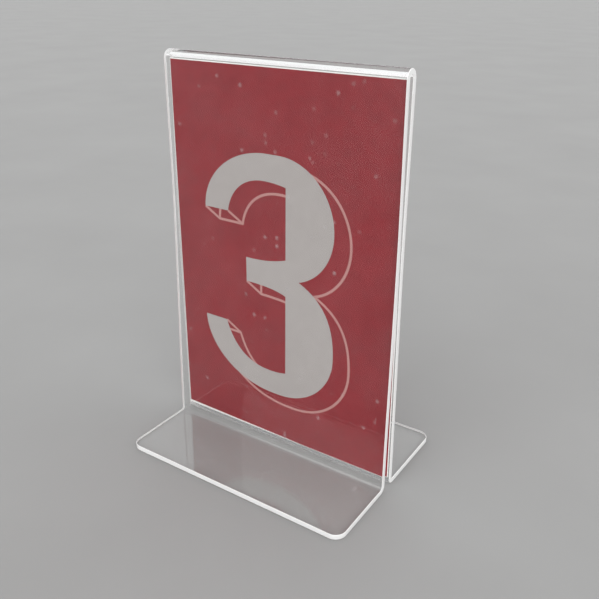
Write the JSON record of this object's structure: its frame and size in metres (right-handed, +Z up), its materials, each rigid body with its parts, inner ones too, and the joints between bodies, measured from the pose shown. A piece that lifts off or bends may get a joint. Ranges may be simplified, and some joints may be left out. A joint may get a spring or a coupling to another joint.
{
  "type": "table number holder",
  "caption": "Free-standing clear acrylic holder, bent from one sheet into a pocket on two feet, with a printed table number card that slides out sideways.",
  "frame": {"origin": "centre of the bounding box, on the table surface under the feet", "axes": "+Z up, +Y from the front foot to the rear foot, so the front of the card faces -Y, +X across the width, to the right when looking at the front"},
  "size_m": [0.1, 0.0754, 0.157],
  "materials": {
    "clear_acrylic": "clear, glossy, with polished bright cut edges",
    "printed_card": "satin print on white card"
  },
  "bodies": {
    "holder": {"acrylic_holder": "clear_acrylic"},
    "card": {"number_card": "printed_card"}
  },
  "joints": [
    {"name": "card_slide", "type": "slide", "parent": "holder", "child": "card", "axis": [1, 0, 0], "range_m": [-0.1, 0.1]}
  ]
}
